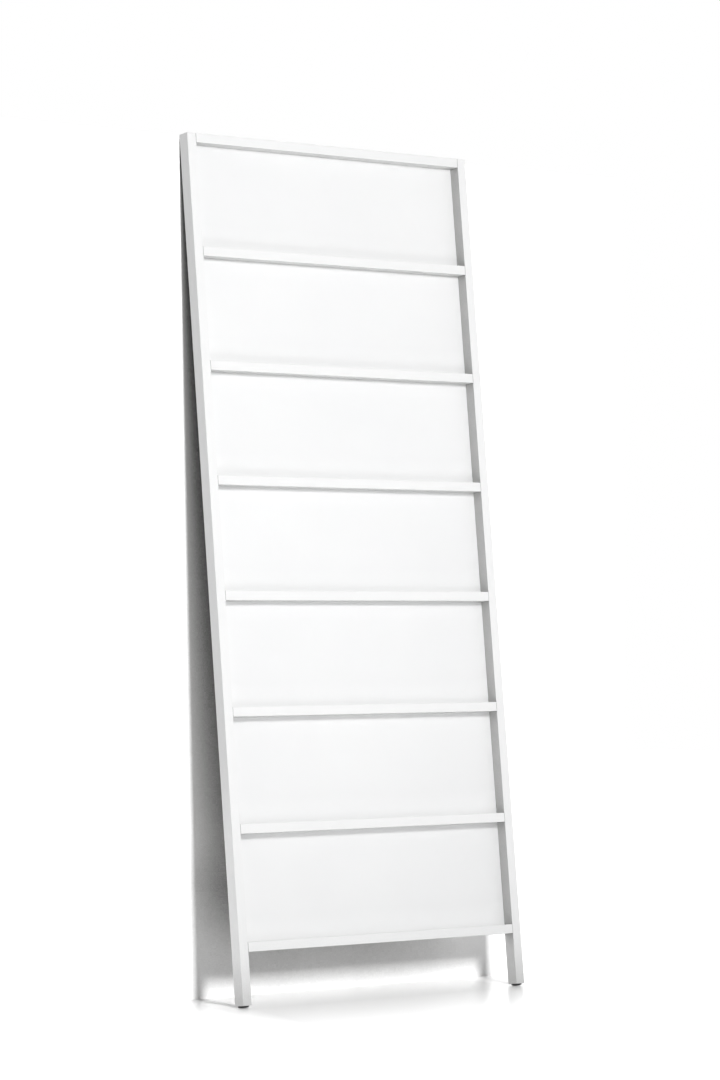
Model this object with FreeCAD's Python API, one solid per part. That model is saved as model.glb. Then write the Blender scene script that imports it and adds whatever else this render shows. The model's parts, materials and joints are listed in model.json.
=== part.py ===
import FreeCAD, Part
import math
import os

# A tall display shelf that stands on two feet and leans on a wall: two uprights joined by eight
# rails, with a thin back panel let into the back. All sizes are in millimetres and degrees.
# The pieces are drawn upright: X to the right from the middle, Y to the back from the front
# face, Z up from the lower ends of the uprights. The whole shelf is then leant back.

# Overall frame
overall_width = 950.0
upright_length = 2290.0
lean_angle = 6.0
bay_count = 7
leg_length = 137.0

# Uprights and rails
upright_width = 28.0
upright_depth = 36.0
rail_height = 25.0
edge_radius = 1.0
joint_chamfer = 0.9

# Back panel in its rebates
panel_thickness = 3.0
panel_lap = 9.0
panel_edge_clearance = 0.4

# Glued dowels between the rails and the uprights
dowel_diameter = 8.0
dowel_length = 36.0
dowel_spacing = 15.0
dowel_chamfer = 1.0
glue_clearance = 0.05
hole_end_gap = 0.5

# Countersunk screws in the back panel
panel_screw_diameter = 3.0
panel_screw_length = 15.0
panel_screw_head_diameter = 6.0
panel_screw_head_height = 1.5
panel_screws_per_rail = 4
panel_screw_end_distance = 90.0
drive_slot_width = 0.9
drive_slot_depth = 0.9

# Keyhole plates for hanging on wall screws, let into the backs of the uprights
plate_width = 16.0
plate_length = 64.0
plate_thickness = 2.0
plate_corner_radius = 4.0
plate_top_distance = 36.0
plate_clearance = 0.15
keyhole_entry_diameter = 10.0
keyhole_slot_width = 5.0
keyhole_slot_rise = 12.0
keyhole_pocket_depth = 8.0
keyhole_pocket_margin = 0.5
plate_screw_diameter = 3.5
plate_screw_length = 18.0
plate_screw_head_diameter = 6.8
plate_screw_head_height = 1.7
plate_screw_end_distance = 8.0

# Rubber pads between the uprights and the wall
wall_pad_diameter = 12.0
wall_pad_height = 2.6
wall_pad_top_distance = 12.0

# Adjustable feet: a domed glide on a threaded stud, in a threaded insert in each leg
glide_diameter = 28.0
glide_height = 5.0
glide_rim_height = 3.0
glide_rim_radius = 0.6
glide_gap = 0.3
stud_diameter = 8.0
stud_length = 32.0
stud_head_diameter = 14.0
stud_head_height = 2.4
stud_chamfer = 1.0
thread_clearance = 0.05
stud_bore_clearance = 1.0
stud_bore_end_gap = 3.0
insert_diameter = 12.0
insert_length = 20.0
insert_flange_diameter = 18.0
insert_flange_height = 1.5

# Sizes that follow from those above
Vector = FreeCAD.Vector
RIGHT = Vector(1, 0, 0)
BACK = Vector(0, 1, 0)
UP = Vector(0, 0, 1)
half_width = overall_width / 2
inner_half = half_width - upright_width
shelf_depth = upright_depth - panel_thickness
rail_pitch = (upright_length - leg_length - rail_height) / bay_count
rail_bottoms = [leg_length + rail_pitch * index for index in range(bay_count + 1)]
upright_middle = half_width - upright_width / 2
leg_axis_y = upright_depth / 2
panel_half = inner_half + panel_lap - panel_edge_clearance
panel_bottom = rail_bottoms[0] + rail_height - panel_lap + panel_edge_clearance
panel_top = rail_bottoms[-1] + panel_lap - panel_edge_clearance
plate_middle_x = half_width - (upright_width - panel_lap) / 2
plate_top = upright_length - plate_top_distance
plate_bottom = plate_top - plate_length
keyhole_entry_z = (plate_top + plate_bottom) / 2 - keyhole_slot_rise / 2
keyhole_slot_z = keyhole_entry_z + keyhole_slot_rise
glide_dome_height = glide_height - glide_rim_height
glide_dome_radius = ((glide_diameter / 2) ** 2 + glide_dome_height ** 2) / (2 * glide_dome_height)
wall_pad_radius = ((wall_pad_diameter / 2) ** 2 + wall_pad_height ** 2) / (2 * wall_pad_height)
wall_pad_z = upright_length - wall_pad_top_distance


def block(low, high):
    size = Vector(*high) - Vector(*low)
    return Part.makeBox(size.x, size.y, size.z, Vector(*low))


def rod(start, direction, diameter, length):
    return Part.makeCylinder(diameter / 2, length, start, direction)


def turned(outline, centre, direction):
    """A solid of revolution from an outline of (radius, height) edges about direction."""
    face = Part.Face(Part.Wire(outline))
    solid = face.revolve(Vector(0, 0, 0), UP, 360)
    solid.Placement = FreeCAD.Placement(centre, FreeCAD.Rotation(UP, direction))
    return solid


def line(start, end):
    return Part.LineSegment(Vector(start[0], 0, start[1]), Vector(end[0], 0, end[1])).toShape()


def arc(start, middle, end):
    points = [Vector(point[0], 0, point[1]) for point in (start, middle, end)]
    return Part.Arc(*points).toShape()


def dome(diameter, rim_height, dome_height, dome_radius, centre, direction):
    """A round button: flat at centre, with a straight rim and a spherical crown."""
    radius = diameter / 2
    crown = rim_height + dome_height
    half_angle = math.asin(radius / dome_radius) / 2
    middle = (dome_radius * math.sin(half_angle), crown - dome_radius * (1 - math.cos(half_angle)))
    outline = [line((0, 0), (radius, 0))]
    if rim_height > 0:
        outline.append(line((radius, 0), (radius, rim_height)))
    outline.append(arc((radius, rim_height), middle, (0, crown)))
    outline.append(line((0, crown), (0, 0)))
    return turned(outline, centre, direction)


def countersunk_screw(head, inward, diameter, length, head_diameter, head_height):
    """A countersunk screw with its head's flat top at head, and a crossed drive."""
    shank = rod(head, inward, diameter, length)
    cone = Part.makeCone(head_diameter / 2, diameter / 2, head_height, head, inward)
    screw = shank.fuse(cone).removeSplitter()
    slot_length = head_diameter / 2
    for slot_size in ((slot_length, drive_slot_width), (drive_slot_width, slot_length)):
        corner = (head.x - slot_size[0] / 2, head.y - drive_slot_depth, head.z - slot_size[1] / 2)
        far_corner = (head.x + slot_size[0] / 2, head.y, head.z + slot_size[1] / 2)
        screw = screw.cut(block(corner, far_corner))
    return screw


def screw_hole(head, inward, diameter, length, head_diameter, head_height):
    """The hole that the same screw sits in, wider by the glue clearance all round."""
    wider = 2 * glue_clearance
    shank = rod(head, inward, diameter + wider, length + hole_end_gap)
    cone = Part.makeCone((head_diameter + wider) / 2, (diameter + wider) / 2, head_height, head, inward)
    return shank.fuse(cone)


# Dowels: two at each end of each rail, half in the rail and half in the upright
def dowel_starts(rail_bottom, half_length):
    starts = []
    for side in (-1, 1):
        for offset in (-dowel_spacing / 2, dowel_spacing / 2):
            middle = Vector(side * inner_half, shelf_depth / 2 + offset, rail_bottom + rail_height / 2)
            starts.append(middle - RIGHT * half_length)
    return starts


def dowel_solids(rail_bottom):
    solids = []
    for start in dowel_starts(rail_bottom, dowel_length / 2):
        dowel = rod(start, RIGHT, dowel_diameter, dowel_length)
        ends = [edge for edge in dowel.Edges if edge.Closed]
        solids.append(dowel.makeChamfer(dowel_chamfer, ends))
    return solids


def dowel_holes(rail_bottom):
    half_length = dowel_length / 2 + hole_end_gap
    diameter = dowel_diameter + 2 * glue_clearance
    return [rod(start, RIGHT, diameter, 2 * half_length) for start in dowel_starts(rail_bottom, half_length)]


# Places of the panel screws: across each rail, and up each upright at the middle of each bay
def panel_screw_places():
    places = []
    reach = inner_half - panel_screw_end_distance
    step = 2 * reach / (panel_screws_per_rail - 1)
    for index, rail_bottom in enumerate(rail_bottoms):
        height = rail_bottom + rail_height / 2
        if index == 0:
            height = rail_bottom + rail_height - panel_lap / 2
        if index == bay_count:
            height = rail_bottom + panel_lap / 2
        for number in range(panel_screws_per_rail):
            places.append(Vector(-reach + step * number, upright_depth, height))
    for side in (-1, 1):
        for rail_bottom in rail_bottoms[:-1]:
            height = rail_bottom + (rail_height + rail_pitch) / 2
            places.append(Vector(side * (inner_half + panel_lap / 2), upright_depth, height))
    return places


panel_screw_sizes = (panel_screw_diameter, panel_screw_length, panel_screw_head_diameter,
                     panel_screw_head_height)
panel_screws = [countersunk_screw(place, -BACK, *panel_screw_sizes) for place in panel_screw_places()]
panel_screw_holes = [screw_hole(place, -BACK, *panel_screw_sizes) for place in panel_screw_places()]


# Keyhole plates and their screws
plate_screw_sizes = (plate_screw_diameter, plate_screw_length, plate_screw_head_diameter,
                     plate_screw_head_height)


def plate_screw_places(side):
    heights = (plate_bottom + plate_screw_end_distance, plate_top - plate_screw_end_distance)
    return [Vector(side * plate_middle_x, upright_depth, height) for height in heights]


def keyhole(side, entry_diameter, slot_width, depth_from, depth_to):
    """The keyhole shape between two depths: a round entry with a narrower slot above it."""
    middle = side * plate_middle_x
    start = Vector(middle, depth_from, keyhole_entry_z)
    length = depth_to - depth_from
    entry = rod(start, BACK, entry_diameter, length)
    slot = block((middle - slot_width / 2, depth_from, keyhole_entry_z),
                 (middle + slot_width / 2, depth_to, keyhole_slot_z))
    slot_end = rod(Vector(middle, depth_from, keyhole_slot_z), BACK, slot_width, length)
    return entry.fuse([slot, slot_end])


def plate_blank(side, margin):
    """A plate's outline with rounded corners, through its thickness, larger by margin all round."""
    middle = side * plate_middle_x
    reach = plate_width / 2 + margin
    blank = block((middle - reach, upright_depth - plate_thickness, plate_bottom - margin),
                  (middle + reach, upright_depth, plate_top + margin))
    corners = [edge for edge in blank.Edges
               if abs(edge.Vertexes[0].Y - edge.Vertexes[1].Y) > plate_thickness / 2]
    return blank.makeFillet(plate_corner_radius + margin, corners)


def hanger_plate(side):
    front = upright_depth - plate_thickness
    plate = plate_blank(side, 0)
    plate = plate.cut(keyhole(side, keyhole_entry_diameter, keyhole_slot_width, front, upright_depth))
    return plate.cut([screw_hole(place, -BACK, *plate_screw_sizes) for place in plate_screw_places(side)])


def hanger_recess(side):
    """What is milled out of an upright for its plate, for the wall screw's head and for the plate screws."""
    front = upright_depth - plate_thickness
    seat = plate_blank(side, plate_clearance)
    pocket_width = keyhole_entry_diameter + 2 * keyhole_pocket_margin
    pocket = keyhole(side, pocket_width, pocket_width, front - keyhole_pocket_depth, front)
    holes = [screw_hole(place, -BACK, *plate_screw_sizes) for place in plate_screw_places(side)]
    return [seat, pocket] + holes


# Feet
def leg_end(side):
    return Vector(side * upright_middle, leg_axis_y, 0)


def foot_glide(side):
    top = leg_end(side) - UP * glide_gap
    glide = dome(glide_diameter, glide_rim_height, glide_dome_height, glide_dome_radius, top, -UP)
    rims = [edge for edge in glide.Edges if edge.Closed and edge.Length > math.pi * glide_diameter / 2]
    glide = glide.makeFillet(glide_rim_radius, rims)
    return glide.cut(rod(top, -UP, stud_head_diameter, stud_head_height))


def foot_stud(side):
    top = leg_end(side) - UP * glide_gap
    head = rod(top, -UP, stud_head_diameter, stud_head_height)
    shank = rod(top, UP, stud_diameter, stud_length)
    tip = [edge for edge in shank.Edges if edge.Closed and edge.CenterOfMass.z > stud_length / 2]
    return shank.makeChamfer(stud_chamfer, tip).fuse(head)


def foot_insert(side):
    sleeve = rod(leg_end(side), UP, insert_diameter, insert_length)
    flange = rod(leg_end(side), UP, insert_flange_diameter, insert_flange_height)
    bore = rod(leg_end(side), UP, stud_diameter + 2 * thread_clearance, insert_length)
    return sleeve.fuse(flange).cut(bore)


def foot_bore(side):
    """What is bored out of a leg for its insert, with room above for the stud."""
    wider = 2 * glue_clearance
    sleeve = rod(leg_end(side), UP, insert_diameter + wider, insert_length + hole_end_gap)
    flange = rod(leg_end(side), UP, insert_flange_diameter + wider, insert_flange_height + glue_clearance)
    stud_room = rod(leg_end(side), UP, stud_diameter + 2 * stud_bore_clearance,
                    max(stud_length, insert_length) + stud_bore_end_gap)
    return [sleeve, flange, stud_room]


# Wall pads
def wall_pad(side):
    seat = Vector(side * upright_middle, upright_depth, wall_pad_z)
    return dome(wall_pad_diameter, 0, wall_pad_height, wall_pad_radius, seat, BACK)


# Uprights: square bars with eased edges, rebated behind for the panel
def upright(side):
    outer = side * half_width
    inner = side * inner_half
    bar = block((min(outer, inner), 0, 0), (max(outer, inner), upright_depth, upright_length))
    bar = bar.makeFillet(edge_radius, bar.Edges)
    lap_edge = side * (inner_half + panel_lap)
    rebate_bottom = panel_bottom - panel_edge_clearance
    rebate_top = panel_top + panel_edge_clearance
    rebate = block((min(inner, lap_edge), shelf_depth, rebate_bottom),
                   (max(inner, lap_edge), upright_depth, rebate_top))
    cuts = [rebate] + hanger_recess(side) + foot_bore(side)
    for rail_bottom in rail_bottoms:
        cuts += [hole for hole in dowel_holes(rail_bottom) if hole.CenterOfMass.x * side > 0]
    cuts += [hole for hole in panel_screw_holes if hole.BoundBox.Center.x * side > inner_half]
    return bar.cut(cuts)


# Rails: bars between the uprights with eased long edges and a fine vee at each front joint
def rail(rail_bottom, depth, rebate_bottom=None):
    bar = block((-inner_half, 0, rail_bottom), (inner_half, depth, rail_bottom + rail_height))
    eased = []
    for edge in bar.Edges:
        along_rail = abs(edge.Vertexes[0].X - edge.Vertexes[1].X) > inner_half
        at_panel = edge.CenterOfMass.y > depth / 2 and depth < upright_depth
        if along_rail and not at_panel:
            eased.append(edge)
    bar = bar.makeFillet(edge_radius, eased)
    cuts = []
    for side in (-1, 1):
        end = side * inner_half
        corners = [Vector(end, 0, rail_bottom), Vector(end - side * joint_chamfer, 0, rail_bottom),
                   Vector(end, joint_chamfer, rail_bottom)]
        vee = Part.Face(Part.makePolygon(corners + corners[:1]))
        cuts.append(vee.extrude(UP * rail_height))
    if rebate_bottom is not None:
        cuts.append(block((-inner_half, shelf_depth, rebate_bottom),
                          (inner_half, upright_depth, rebate_bottom + panel_lap)))
    cuts += dowel_holes(rail_bottom)
    for hole in panel_screw_holes:
        height = hole.BoundBox.Center.z
        if rail_bottom < height < rail_bottom + rail_height:
            cuts.append(hole)
    return bar.cut(cuts)


# Standing place: leant back about the lower front edge, then set on the floor with the
# origin on the floor under the middle of the whole shelf
lean = math.radians(lean_angle)


def leant(y, z):
    return y * math.cos(lean) + z * math.sin(lean), z * math.cos(lean) - y * math.sin(lean)


dome_centre = leant(leg_axis_y, -glide_gap - glide_height + glide_dome_radius)
pad_centre = leant(upright_depth + wall_pad_height - wall_pad_radius, wall_pad_z)
floor_height = dome_centre[1] - glide_dome_radius
front_reach = leant(edge_radius, edge_radius)[0] - edge_radius
wall_reach = pad_centre[0] + wall_pad_radius
standing = FreeCAD.Placement(Vector(0, -(front_reach + wall_reach) / 2, -floor_height),
                             FreeCAD.Rotation(RIGHT, -lean_angle))


def save(name, solids):
    shape = Part.makeCompound(solids) if len(solids) > 1 else solids[0]
    shape.Placement = standing.multiply(shape.Placement)
    shape.exportStep("parts/" + name + ".step")


os.makedirs("parts", exist_ok=True)

rail_names = ["bottom_rail"]
rail_names += ["shelf_rail_" + str(number) for number in range(1, bay_count)]
rail_names += ["top_rail"]
for name, rail_bottom in zip(rail_names, rail_bottoms):
    if name == "bottom_rail":
        solid = rail(rail_bottom, upright_depth, rail_bottom + rail_height - panel_lap)
    elif name == "top_rail":
        solid = rail(rail_bottom, upright_depth, rail_bottom)
    else:
        solid = rail(rail_bottom, shelf_depth)
    save(name, [solid])
    save(name + "_dowels", dowel_solids(rail_bottom))

panel = block((-panel_half, shelf_depth, panel_bottom), (panel_half, upright_depth, panel_top))
save("back_panel", [panel.cut(panel_screw_holes)])
save("back_panel_screws", panel_screws)

hanger_screws = []
for side, side_name in ((-1, "left"), (1, "right")):
    save(side_name + "_upright", [upright(side)])
    save(side_name + "_hanger_plate", [hanger_plate(side)])
    save(side_name + "_wall_pad", [wall_pad(side)])
    save(side_name + "_foot_insert", [foot_insert(side)])
    save(side_name + "_foot_stud", [foot_stud(side)])
    save(side_name + "_foot_glide", [foot_glide(side)])
    for place in plate_screw_places(side):
        hanger_screws.append(countersunk_screw(place, -BACK, *plate_screw_sizes))
save("hanger_plate_screws", hanger_screws)

print("depth", wall_reach - front_reach, "pitch", rail_pitch)
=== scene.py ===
import json
import math

import bmesh
import bpy
from mathutils import Matrix, Vector


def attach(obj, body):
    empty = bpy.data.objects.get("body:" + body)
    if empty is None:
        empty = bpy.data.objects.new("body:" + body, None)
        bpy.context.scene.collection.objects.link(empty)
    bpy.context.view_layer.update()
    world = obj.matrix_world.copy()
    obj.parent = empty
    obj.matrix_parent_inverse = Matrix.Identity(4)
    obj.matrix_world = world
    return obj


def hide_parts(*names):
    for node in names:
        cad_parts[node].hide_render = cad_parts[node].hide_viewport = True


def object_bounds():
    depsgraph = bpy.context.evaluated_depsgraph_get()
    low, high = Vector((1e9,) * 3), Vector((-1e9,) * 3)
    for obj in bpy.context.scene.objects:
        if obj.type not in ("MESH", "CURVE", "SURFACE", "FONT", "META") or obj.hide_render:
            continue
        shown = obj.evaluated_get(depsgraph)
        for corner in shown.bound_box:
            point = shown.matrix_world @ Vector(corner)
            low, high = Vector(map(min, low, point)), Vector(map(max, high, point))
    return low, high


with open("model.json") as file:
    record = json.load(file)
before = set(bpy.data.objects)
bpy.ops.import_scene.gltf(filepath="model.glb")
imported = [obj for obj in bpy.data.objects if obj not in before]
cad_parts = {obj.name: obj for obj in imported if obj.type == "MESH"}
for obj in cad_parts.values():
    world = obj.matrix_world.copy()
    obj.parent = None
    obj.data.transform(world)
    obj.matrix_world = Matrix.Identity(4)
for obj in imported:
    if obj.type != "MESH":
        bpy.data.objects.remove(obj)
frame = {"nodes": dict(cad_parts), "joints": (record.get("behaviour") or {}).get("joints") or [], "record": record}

cad_low, cad_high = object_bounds()
shelf_nodes = frame["nodes"]

# Uprights: two long bars of dense board, cut square, with eased edges. They are sprayed with
# satin white lacquer and rubbed down, so the film has a very fine orange peel, a faint drift
# of tone along the bar and a slightly thinner, greyer film on the edges.
wall_mount = frame["record"]["mounts"][0]["axis"]
lean = math.atan2(-wall_mount[2], wall_mount[1])
lacquer_white = (0.875, 0.877, 0.875)
lacquer_shade = (0.842, 0.845, 0.846)
thin_film = (0.80, 0.80, 0.79)
recess_painted_shade = (0.52, 0.52, 0.515)
groove_painted_shade = (0.16, 0.16, 0.155)
eased_edge = 0.0012


def new_material(name):
    material = bpy.data.materials.new(name)
    material.use_nodes = True
    return material, material.node_tree.nodes, material.node_tree.links


def finish_node(material, kind, settings=None, **inputs):
    """Adds a node to a material or a world, with plain settings and input values."""
    made = material.node_tree.nodes.new(kind)
    for key, value in (settings or {}).items():
        setattr(made, key, value)
    for key, value in inputs.items():
        made.inputs[key.replace("_", " ")].default_value = value
    return made


def joined(material, operation, first, second):
    """Two values, added, multiplied or compared."""
    made = finish_node(material, "ShaderNodeMath", {"operation": operation})
    material.node_tree.links.new(first, made.inputs[0])
    material.node_tree.links.new(second, made.inputs[1])
    return made.outputs["Value"]


def highest(material, values):
    """The largest of several values."""
    top = values[0]
    for value in values[1:]:
        top = joined(material, "MAXIMUM", top, value)
    return top


def parts_of(material, vector):
    """The X, Y and Z of a place or a direction."""
    made = finish_node(material, "ShaderNodeSeparateXYZ")
    material.node_tree.links.new(vector, made.inputs["Vector"])
    return made.outputs


def shelf_place(material, stretch):
    """Object coordinates, plain, and turned with the lean and stretched along the piece."""
    links = material.node_tree.links
    coordinates = finish_node(material, "ShaderNodeTexCoord")
    upright = finish_node(material, "ShaderNodeMapping", Rotation=(lean, 0.0, 0.0))
    stretched = finish_node(material, "ShaderNodeMapping", Scale=stretch)
    links.new(coordinates.outputs["Object"], upright.inputs["Vector"])
    links.new(upright.outputs["Vector"], stretched.inputs["Vector"])
    return coordinates.outputs["Object"], stretched.outputs["Vector"]


def noise(material, place, scale, detail=2.0, roughness=0.5):
    made = finish_node(material, "ShaderNodeTexNoise", Scale=scale, Detail=detail, Roughness=roughness)
    material.node_tree.links.new(place, made.inputs["Vector"])
    return made.outputs["Fac"]


def spread(material, value, low, high, from_low=0.3, from_high=0.7):
    """Maps a value from its own range, at first the usual range of noise, onto low to high."""
    made = finish_node(material, "ShaderNodeMapRange", From_Min=from_low, From_Max=from_high,
                       To_Min=low, To_Max=high)
    material.node_tree.links.new(value, made.inputs["Value"])
    return made.outputs["Result"]


def blended(material, factor, first, second):
    """A colour that goes from first to second as factor goes from 0 to 1."""
    made = finish_node(material, "ShaderNodeMix", {"data_type": "RGBA"})
    colour_inputs = [socket for socket in made.inputs if socket.type == "RGBA"]
    colour_outputs = [socket for socket in made.outputs if socket.type == "RGBA"]
    links = material.node_tree.links
    links.new(factor, made.inputs[0])
    for socket, colour in zip(colour_inputs, (first, second)):
        if isinstance(colour, bpy.types.NodeSocket):
            links.new(colour, socket)
        else:
            socket.default_value = (*colour, 1.0)
    return colour_outputs[0]


def edge_film(material, radius):
    """How near a place is to an edge, from 0 on the flats to 1 on a corner."""
    links = material.node_tree.links
    rounded = finish_node(material, "ShaderNodeBevel", {"samples": 4}, Radius=radius)
    flat = finish_node(material, "ShaderNodeNewGeometry")
    closeness = finish_node(material, "ShaderNodeVectorMath", {"operation": "DOT_PRODUCT"})
    links.new(rounded.outputs["Normal"], closeness.inputs[0])
    links.new(flat.outputs["Normal"], closeness.inputs[1])
    return spread(material, closeness.outputs["Value"], 1.0, 0.0, from_low=0.75, from_high=0.995)


def hidden_place(material, reach, shut, clear, samples=6, towards=None):
    """1 on open faces, down to 0 where other faces lie within reach, all round or towards one way."""
    around = finish_node(material, "ShaderNodeAmbientOcclusion", {"samples": samples}, Distance=reach)
    if towards:
        way = finish_node(material, "ShaderNodeCombineXYZ", X=towards[0], Y=towards[1], Z=towards[2])
        material.node_tree.links.new(way.outputs["Vector"], around.inputs["Normal"])
    return spread(material, around.outputs["AO"], 0.0, 1.0, from_low=shut, from_high=clear)


def film_with_painted_shade(material, film):
    """The film with painted shade: grey on the sides and undersides in a recess, dark in the grooves."""
    facing = finish_node(material, "ShaderNodeNewGeometry")
    upwards = parts_of(material, facing.outputs["Normal"])["Z"]
    # Painted shade: faces that don't look up go grey where the recess closes round them.
    clear_of_painted_shade = highest(material, [
        hidden_place(material, reach=0.25, shut=0.50, clear=0.80),
        spread(material, upwards, 0.0, 1.0, from_low=0.3, from_high=0.6)])
    film_with_recess_shade = blended(material, clear_of_painted_shade, recess_painted_shade, film)
    # Painted shade: the film goes dark in the narrow grooves at the joints and in tight inside corners.
    groove = hidden_place(material, reach=0.002, shut=0.55, clear=0.95)
    return blended(material, groove, groove_painted_shade, film_with_recess_shade)


def bumped(material, height, strength, distance):
    made = finish_node(material, "ShaderNodeBump", Strength=strength, Distance=distance)
    material.node_tree.links.new(height, made.inputs["Height"])
    return made.outputs["Normal"]


def white_lacquer(name, stretch):
    material, nodes, links = new_material(name)
    shader = nodes["Principled BSDF"]
    plain, along = shelf_place(material, stretch)
    drift = spread(material, noise(material, plain, scale=3.5, detail=3.0), 0.0, 0.55)
    streaks = spread(material, noise(material, along, scale=1.0, detail=4.0, roughness=0.6), 0.0, 0.45)
    tone = joined(material, "ADD", drift, streaks)
    film = blended(material, tone, lacquer_white, lacquer_shade)
    edges = spread(material, edge_film(material, eased_edge), 0.0, 0.5, from_low=0.0, from_high=1.0)
    sprayed = blended(material, edges, film, thin_film)
    # The base colour carries painted shade: grey on the sides and undersides in a recess, dark in the joint
    # grooves.
    links.new(film_with_painted_shade(material, sprayed), shader.inputs["Base Color"])
    rubbed = noise(material, along, scale=2.5, detail=5.0, roughness=0.65)
    links.new(spread(material, rubbed, 0.34, 0.46), shader.inputs["Roughness"])
    shader.inputs["Coat Weight"].default_value = 0.12
    shader.inputs["Coat Roughness"].default_value = 0.22
    peel = noise(material, plain, scale=620.0)
    links.new(bumped(material, peel, strength=0.18, distance=0.0003), shader.inputs["Normal"])
    return material


def dress(node_name, material):
    mesh = shelf_nodes[node_name].data
    mesh.materials.clear()
    mesh.materials.append(material)


upright_lacquer = white_lacquer("upright_lacquer", (90.0, 90.0, 3.0))
for side in ("left", "right"):
    dress(side + "_upright", upright_lacquer)

# Rails: eight equal bars of the same board between the uprights, butted and dowelled, with
# their front faces flush. They are lacquered before they are glued up, so each joint is a
# small groove, which painted shade darkens into a hairline. The rubbing marks run along the rail.
rail_names = ["top_rail", "bottom_rail"]
for name in sorted(shelf_nodes):
    if name.startswith("shelf_rail_") and "dowels" not in name:
        rail_names.append(name)
rail_lacquer = white_lacquer("rail_lacquer", (3.0, 90.0, 90.0))
for name in rail_names:
    dress(name, rail_lacquer)

# Dowels: fluted beech pegs glued half into a rail and half into an upright. They are hidden
# once the frame is together, and have plain wood with its grain along the peg.
beech_light = (0.62, 0.43, 0.26)
beech_dark = (0.47, 0.29, 0.15)
beech, nodes, links = new_material("beech")
shader = nodes["Principled BSDF"]
plain, along = shelf_place(beech, (12.0, 420.0, 420.0))
grain = spread(beech, noise(beech, along, scale=1.0, detail=5.0, roughness=0.6), 0.0, 1.0)
links.new(blended(beech, grain, beech_light, beech_dark), shader.inputs["Base Color"])
links.new(spread(beech, grain, 0.55, 0.75, from_low=0.0, from_high=1.0), shader.inputs["Roughness"])
links.new(bumped(beech, grain, strength=0.3, distance=0.0004), shader.inputs["Normal"])
for name in rail_names:
    dress(name + "_dowels", beech)

# Back panel: one sheet of thin hard fibreboard in a rebate round the back of the frame. Its
# face is sprayed with the same white, with painted light just above each rail where the rail
# below would shade it; its back has only a rolled white primer, flatter and greyer, with stipple and a few fibres.
panel_white = (0.872, 0.875, 0.876)
panel_shade = (0.845, 0.848, 0.852)
painted_light_white = (0.955, 0.957, 0.957)
painted_light_reach = 0.07
down_the_front = (0.0, -0.5, -0.87)
primer_white = (0.74, 0.735, 0.72)
primer_fleck = (0.66, 0.64, 0.60)
panel_finish, nodes, links = new_material("panel_finish")
shader = nodes["Principled BSDF"]
plain, along = shelf_place(panel_finish, (40.0, 40.0, 40.0))
facing = finish_node(panel_finish, "ShaderNodeNewGeometry")
backwards = parts_of(panel_finish, facing.outputs["Normal"])["Y"]
on_back = spread(panel_finish, backwards, 0.0, 1.0, from_low=0.4, from_high=0.6)
drift = spread(panel_finish, noise(panel_finish, plain, scale=2.2, detail=3.0), 0.0, 1.0)
sprayed = blended(panel_finish, drift, panel_white, panel_shade)
# Painted light: the face goes whiter just above each rail, where the rail below would shade it.
clear_of_painted_light = hidden_place(panel_finish, painted_light_reach, shut=0.06, clear=0.55, towards=down_the_front)
sprayed = blended(panel_finish, clear_of_painted_light, painted_light_white, sprayed)
fibres = noise(panel_finish, plain, scale=260.0, detail=4.0, roughness=0.7)
flecks = spread(panel_finish, fibres, 0.0, 1.0, from_low=0.56, from_high=0.72)
rolled = blended(panel_finish, flecks, primer_white, primer_fleck)
links.new(blended(panel_finish, on_back, sprayed, rolled), shader.inputs["Base Color"])
flatness = spread(panel_finish, on_back, 0.40, 0.62, from_low=0.0, from_high=1.0)
links.new(flatness, shader.inputs["Roughness"])
peel = noise(panel_finish, plain, scale=560.0)
stipple = noise(panel_finish, plain, scale=330.0, detail=3.0, roughness=0.6)
relief = finish_node(panel_finish, "ShaderNodeMix", {"data_type": "FLOAT"})
links.new(on_back, relief.inputs[0])
links.new(peel, relief.inputs[2])
links.new(stipple, relief.inputs[3])
raised = bumped(panel_finish, relief.outputs[0], strength=0.2, distance=0.0004)
links.new(raised, shader.inputs["Normal"])
dress("back_panel", panel_finish)

# Screws and hanger plates: zinc plated steel. The plates are punched with a keyhole and let in
# flush behind the uprights; the countersunk screws have a crossed drive. The plating has a
# fine crystalline bloom and rubs bright on the edges.
zinc_bright = (0.66, 0.67, 0.69)
zinc_dull = (0.50, 0.51, 0.53)
zinc_worn = (0.78, 0.78, 0.80)
zinc, nodes, links = new_material("zinc")
shader = nodes["Principled BSDF"]
plain, along = shelf_place(zinc, (900.0, 900.0, 60.0))
bloom = spread(zinc, noise(zinc, plain, scale=480.0, detail=4.0, roughness=0.65), 0.0, 1.0)
drawn = noise(zinc, along, scale=1.0, detail=3.0)
worn = edge_film(zinc, radius=0.0005)
plated = blended(zinc, bloom, zinc_bright, zinc_dull)
links.new(blended(zinc, worn, plated, zinc_worn), shader.inputs["Base Color"])
shader.inputs["Metallic"].default_value = 1.0
links.new(spread(zinc, bloom, 0.30, 0.46, from_low=0.0, from_high=1.0), shader.inputs["Roughness"])
links.new(bumped(zinc, drawn, strength=0.15, distance=0.0002), shader.inputs["Normal"])
zinc_names = ["back_panel_screws", "hanger_plate_screws", "left_hanger_plate", "right_hanger_plate",
              "left_foot_stud", "right_foot_stud"]
for name in zinc_names:
    dress(name, zinc)

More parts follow.
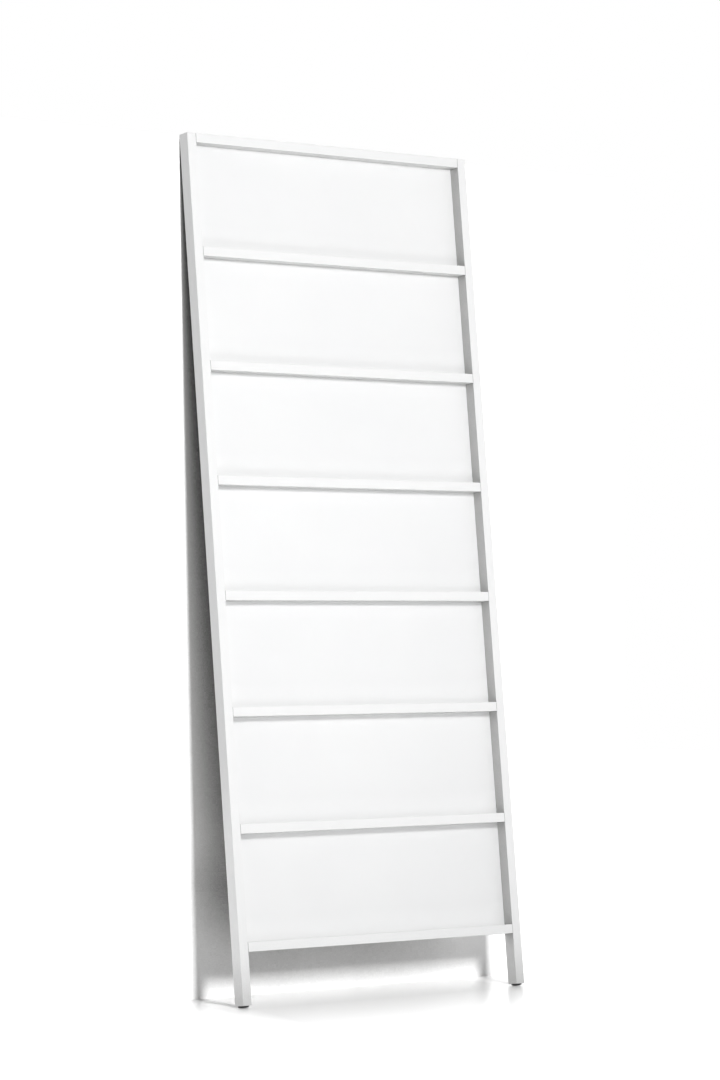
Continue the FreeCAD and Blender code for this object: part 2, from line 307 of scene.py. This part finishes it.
# Wall pads: small self-adhesive domes of soft grey rubber near the top of each upright, which
# keep the lacquer off the wall. They are matt, with a dusty bloom.
pad_grey = (0.30, 0.30, 0.31)
pad_dust = (0.40, 0.40, 0.40)
even = (1.0, 1.0, 1.0)
rubber, nodes, links = new_material("pad_rubber")
shader = nodes["Principled BSDF"]
plain, along = shelf_place(rubber, even)
dust = spread(rubber, noise(rubber, plain, scale=700.0, detail=4.0, roughness=0.6), 0.0, 1.0)
links.new(blended(rubber, dust, pad_grey, pad_dust), shader.inputs["Base Color"])
links.new(spread(rubber, dust, 0.62, 0.82, from_low=0.0, from_high=1.0), shader.inputs["Roughness"])
links.new(bumped(rubber, dust, strength=0.2, distance=0.0002), shader.inputs["Normal"])
for side in ("left", "right"):
    dress(side + "_wall_pad", rubber)

# Foot inserts: turned brass sleeves with a thin flange, threaded inside and glued into the end
# of each leg. The flange shows as a ring under the leg, a little tarnished, with a fine grain.
brass_bright = (0.74, 0.56, 0.27)
brass_dull = (0.52, 0.38, 0.18)
brass, nodes, links = new_material("insert_brass")
shader = nodes["Principled BSDF"]
plain, along = shelf_place(brass, even)
tarnish = spread(brass, noise(brass, plain, scale=240.0, detail=4.0, roughness=0.6), 0.0, 1.0)
links.new(blended(brass, tarnish, brass_bright, brass_dull), shader.inputs["Base Color"])
shader.inputs["Metallic"].default_value = 1.0
links.new(spread(brass, tarnish, 0.25, 0.42, from_low=0.0, from_high=1.0), shader.inputs["Roughness"])
turned = noise(brass, plain, scale=1500.0)
links.new(bumped(brass, turned, strength=0.1, distance=0.0001), shader.inputs["Normal"])
for side in ("left", "right"):
    dress(side + "_foot_insert", brass)

# Glides: moulded black nylon domes on the ends of the studs. The moulding is matt from a fine
# spark finish, and its crown is scuffed grey where it stands on the floor.
nylon_black = (0.022, 0.022, 0.024)
nylon_worn = (0.060, 0.060, 0.062)
scuff_height = 0.0012
nylon, nodes, links = new_material("glide_nylon")
shader = nodes["Principled BSDF"]
plain, along = shelf_place(nylon, even)
above_floor = parts_of(nylon, plain)["Z"]
near_floor = spread(nylon, above_floor, 1.0, 0.0, from_low=0.0, from_high=scuff_height)
marks = noise(nylon, plain, scale=900.0, detail=5.0, roughness=0.7)
scratches = spread(nylon, marks, 0.0, 1.0, from_low=0.4, from_high=0.6)
scuffs = joined(nylon, "MULTIPLY", near_floor, scratches)
links.new(blended(nylon, scuffs, nylon_black, nylon_worn), shader.inputs["Base Color"])
links.new(spread(nylon, scratches, 0.45, 0.6, from_low=0.0, from_high=1.0), shader.inputs["Roughness"])
sparked = noise(nylon, plain, scale=2600.0)
links.new(bumped(nylon, sparked, strength=0.25, distance=0.0002), shader.inputs["Normal"])
for side in ("left", "right"):
    dress(side + "_foot_glide", nylon)

# Studs: machine thread studs that carry the glides. Each has a coarse metric thread, rolled
# along its whole shank, and a flat head that is moulded into the glide.
thread_pitch = 0.00125
thread_crest = 0.0040
thread_root = 0.00335
thread_steps = 48
turns_below = 2
turns_spare = 3
head_radius = 0.0070
head_height = 0.0024
head_bevel = 0.0003
same_place = 1e-6
same_height = 1e-7


def stud_axis(node_name):
    """The stud's lowest point on its axis, the way up the axis, and its whole length."""
    up = -Vector(frame["joints"][0]["axis"])
    vertices = shelf_nodes[node_name].data.vertices
    points = {tuple(round(value, 6) for value in vertex.co) for vertex in vertices}
    middle = sum((Vector(point) for point in points), Vector()) / len(points)
    heights = [(Vector(point) - middle).dot(up) for point in points]
    return middle + up * min(heights), up, max(heights) - min(heights)


def threaded_stud(name, node_name):
    """A thread spun up from a zigzag, cut level at both ends, with a bevelled round head."""
    foot, up, length = stud_axis(node_name)
    shape = bmesh.new()
    turns = int(length / thread_pitch) + turns_spare
    previous = None
    profile = []
    for half_turn in range(2 * turns):
        radius = thread_crest if half_turn % 2 else thread_root
        corner = shape.verts.new((radius, 0.0, (half_turn / 2 - turns_below) * thread_pitch))
        if previous:
            profile.append(shape.edges.new((previous, corner)))
        previous = corner
    bmesh.ops.spin(shape, geom=list(shape.verts) + profile, axis=(0, 0, 1), cent=(0, 0, 0),
                   dvec=(0, 0, thread_pitch / thread_steps), angle=2 * math.pi, steps=thread_steps)
    bmesh.ops.remove_doubles(shape, verts=shape.verts, dist=same_place)
    for height, normal in ((head_height / 2, (0, 0, -1)), (length, (0, 0, 1))):
        whole = list(shape.verts) + list(shape.edges) + list(shape.faces)
        bmesh.ops.bisect_plane(shape, geom=whole, plane_co=(0, 0, height), plane_no=normal,
                               clear_outer=True)
        rim = [edge for edge in shape.edges if edge.is_boundary]
        ends = [edge for edge in rim
                if all(abs(vertex.co.z - height) < same_height for vertex in edge.verts)]
        bmesh.ops.contextual_create(shape, geom=ends)
    head = bmesh.ops.create_cone(shape, cap_ends=True, segments=thread_steps, radius1=head_radius,
                                 radius2=head_radius, depth=head_height,
                                 matrix=Matrix.Translation((0, 0, head_height / 2)))
    rims = {edge for vertex in head["verts"] for edge in vertex.link_edges
            if abs(edge.verts[0].co.z - edge.verts[1].co.z) < same_height}
    bmesh.ops.bevel(shape, geom=list(rims), offset=head_bevel, offset_type="OFFSET", affect="EDGES",
                    segments=2, profile=0.5, material=-1)
    bmesh.ops.recalc_face_normals(shape, faces=shape.faces)
    turn = Vector((0, 0, 1)).rotation_difference(up).to_matrix().to_4x4()
    bmesh.ops.transform(shape, matrix=Matrix.Translation(foot) @ turn, verts=shape.verts)
    mesh = bpy.data.meshes.new(name)
    shape.to_mesh(mesh)
    shape.free()
    piece = bpy.data.objects.new(name, mesh)
    bpy.context.scene.collection.objects.link(piece)
    mesh.materials.append(zinc)
    return piece


for side in ("left", "right"):
    stud = threaded_stud(side + "_threaded_stud", side + "_foot_stud")
    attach(stud, side + "_foot")
    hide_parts(side + "_foot_stud")

# Stage: a pale satin floor under the feet, and a piece of white wall that touches the pads, as
# high as the shelf, which fades out at its sides. A shadow is painted on the wall where the
# shelf comes near it. The wall shows only from the front, so the back of the shelf can be seen
# from behind, and only its foot is mirrored, in the floor.
floor_pale = (0.78, 0.78, 0.78)
floor_reach = 14.0
floor_lift = 0.36
wall_pale = (0.90, 0.90, 0.90)
painted_wall_shadow = (0.03, 0.03, 0.03)
wall_y = cad_high.y
wall_top = cad_high.z - 0.005
wall_reach = 1.1
wall_fade = 0.35
top_fade = 0.020
mirrored_height = 0.45
mirrored_fade = 0.1


def stage_sheet(name, corners):
    shape = bmesh.new()
    shape.faces.new([shape.verts.new(corner) for corner in corners])
    mesh = bpy.data.meshes.new(name)
    shape.to_mesh(mesh)
    shape.free()
    sheet = bpy.data.objects.new(name, mesh)
    bpy.context.scene.collection.objects.link(sheet)
    return sheet


def stage_finish(name, roughness, specular):
    material, nodes, links = new_material(name)
    shader = nodes["Principled BSDF"]
    shader.inputs["Roughness"].default_value = roughness
    shader.inputs["Specular IOR Level"].default_value = specular
    return material, nodes, links, shader


def from_middle(material, across):
    """How far a place lies to either side of the middle."""
    made = finish_node(material, "ShaderNodeMath", {"operation": "ABSOLUTE"})
    material.node_tree.links.new(across, made.inputs[0])
    return made.outputs["Value"]


floor = stage_sheet("floor", [(-floor_reach, -floor_reach, 0), (floor_reach, -floor_reach, 0),
                              (floor_reach, floor_reach, 0), (-floor_reach, floor_reach, 0)])
floor_white, nodes, links, shader = stage_finish("floor_white", roughness=0.22, specular=0.30)
shader.inputs["Base Color"].default_value = (*floor_pale, 1.0)
coordinates = finish_node(floor_white, "ShaderNodeTexCoord")
place = parts_of(floor_white, coordinates.outputs["Object"])
aside = from_middle(floor_white, place["X"])
distance = finish_node(floor_white, "ShaderNodeVectorMath", {"operation": "LENGTH"})
links.new(coordinates.outputs["Object"], distance.inputs[0])
fade = highest(floor_white, [
    spread(floor_white, aside, 0.0, floor_lift, from_low=0.45, from_high=0.62),
    spread(floor_white, place["Y"], floor_lift, 0.0, from_low=-0.75, from_high=-0.15),
    spread(floor_white, place["Y"], 0.0, 1.0, from_low=wall_y, from_high=wall_y + 1.1),
    spread(floor_white, distance.outputs["Value"], 0.0, 1.0, from_low=0.75, from_high=1.25)])
seen = finish_node(floor_white, "ShaderNodeLightPath")
lifted = joined(floor_white, "MULTIPLY", seen.outputs["Is Camera Ray"], fade)
shader.inputs["Emission Color"].default_value = (1.0, 1.0, 1.0, 1.0)
links.new(lifted, shader.inputs["Emission Strength"])
floor.data.materials.append(floor_white)

wall = stage_sheet("wall", [(-wall_reach, wall_y, 0), (wall_reach, wall_y, 0),
                            (wall_reach, wall_y, wall_top), (-wall_reach, wall_y, wall_top)])
wall_white, nodes, links, shader = stage_finish("wall_white", roughness=0.9, specular=0.0)
behind = finish_node(wall_white, "ShaderNodeNewGeometry")
place = parts_of(wall_white, behind.outputs["Position"])
# Painted shadow: the wall goes dark where the shelf comes near it, and lighter towards the floor.
clear_of_wall_shadow = joined(
    wall_white, "ADD",
    hidden_place(wall_white, reach=0.44, shut=0.247, clear=0.585, samples=16),
    spread(wall_white, place["Z"], 0.45, 0.0, from_low=0.0, from_high=0.30))
links.new(blended(wall_white, clear_of_wall_shadow, painted_wall_shadow, wall_pale), shader.inputs["Base Color"])
high_up = spread(wall_white, place["Z"], 0.0, 1.0, from_low=mirrored_height,
                 from_high=mirrored_height + mirrored_fade)
seen = finish_node(wall_white, "ShaderNodeLightPath")
aside = from_middle(wall_white, place["X"])
clear = highest(wall_white, [
    behind.outputs["Backfacing"],
    joined(wall_white, "MULTIPLY", seen.outputs["Is Glossy Ray"], high_up),
    spread(wall_white, aside, 0.0, 1.0, from_low=wall_reach - wall_fade, from_high=wall_reach),
    spread(wall_white, place["Z"], 0.0, 1.0, from_low=wall_top - top_fade, from_high=wall_top)])
open_back = finish_node(wall_white, "ShaderNodeBsdfTransparent")
one_sided = finish_node(wall_white, "ShaderNodeMixShader")
links.new(clear, one_sided.inputs[0])
links.new(shader.outputs["BSDF"], one_sided.inputs[1])
links.new(open_back.outputs["BSDF"], one_sided.inputs[2])
links.new(one_sided.outputs["Shader"], nodes["Material Output"].inputs["Surface"])
wall.data.materials.append(wall_white)
wall.visible_diffuse = False
wall.visible_shadow = False

# Light: a soft box in front of the shelf and above it, fills from both sides and from behind,
# and a wash that lights only the stage and throws the shelf's shadow on it. The pale surround
# is dimmer at the front left and the back right, and is white where it is seen or mirrored.
surround_strength = 0.36
surround_turn = 0.6
shelf_middle = (0.0, 0.0, 1.10)
left_middle = (-0.475, 0.0, 1.10)
right_middle = (0.475, 0.0, 1.10)


def soft_lamp(name, power, width, height, place, aim, stage_state):
    """An area lamp that isn't mirrored, and leaves the stage out or lights nothing else."""
    lamp = bpy.data.lights.new(name, "AREA")
    lamp.shape = "RECTANGLE"
    lamp.size = width
    lamp.size_y = height
    lamp.energy = power
    holder = bpy.data.objects.new(name, lamp)
    holder.location = place
    holder.visible_glossy = False
    holder.rotation_euler = (Vector(aim) - Vector(place)).to_track_quat("-Z", "Y").to_euler()
    bpy.context.scene.collection.objects.link(holder)
    reach = bpy.data.collections.new(name + "_reach")
    for sheet in (floor, wall):
        reach.objects.link(sheet)
    for member in reach.collection_objects:
        member.light_linking.link_state = stage_state
    holder.light_linking.receiver_collection = reach


soft_lamp("soft_box", power=133.0, width=1.0, height=1.0, place=(0.20, -4.50, 3.00),
          aim=(-2.20, 0.0, 1.10), stage_state="EXCLUDE")
soft_lamp("left_fill", power=35.0, width=1.0, height=1.6, place=(-4.00, 1.60, 1.40),
          aim=left_middle, stage_state="EXCLUDE")
soft_lamp("right_fill", power=35.0, width=1.0, height=1.6, place=(4.00, 1.60, 1.40),
          aim=right_middle, stage_state="EXCLUDE")
soft_lamp("back_fill", power=95.0, width=1.4, height=1.4, place=(1.20, 4.60, 2.60),
          aim=shelf_middle, stage_state="EXCLUDE")
soft_lamp("stage_wash", power=330.0, width=0.5, height=0.9, place=(-1.15, -3.96, 1.80),
          aim=(0.6, 0.0, 1.30), stage_state="INCLUDE")

surround = bpy.data.worlds.new("surround")
surround.use_nodes = True
bpy.context.scene.world = surround
links = surround.node_tree.links
sky = surround.node_tree.nodes["Background"]
sky.inputs["Color"].default_value = (1.0, 1.0, 1.0, 1.0)
path = finish_node(surround, "ShaderNodeLightPath")
seen = highest(surround, [path.outputs["Is Camera Ray"], path.outputs["Is Glossy Ray"],
                          path.outputs["Is Transmission Ray"]])
look = finish_node(surround, "ShaderNodeTexCoord")
way = parts_of(surround, look.outputs["Generated"])
dimmed = finish_node(surround, "ShaderNodeMath", {"operation": "MULTIPLY_ADD"})
links.new(joined(surround, "MULTIPLY", way["X"], way["Y"]), dimmed.inputs[0])
dimmed.inputs[1].default_value = -surround_turn
dimmed.inputs[2].default_value = surround_strength
strength = finish_node(surround, "ShaderNodeMapRange", To_Max=1.0)
links.new(seen, strength.inputs["Value"])
links.new(dimmed.outputs["Value"], strength.inputs["To Min"])
links.new(strength.outputs["Result"], sky.inputs["Strength"])

# Camera: a long lens at chest height, well to the left of the shelf.
camera_place = (-6.003, -7.708, 0.969)
camera_turn = (91.432, 0.208, -37.995)
camera_lens = 121.32
camera_data = bpy.data.cameras.new("camera")
camera_data.lens = camera_lens
camera = bpy.data.objects.new("camera", camera_data)
camera.location = camera_place
camera.rotation_euler = [math.radians(angle) for angle in camera_turn]
bpy.context.scene.collection.objects.link(camera)
bpy.context.scene.camera = camera
bpy.context.scene.view_settings.view_transform = "Standard"
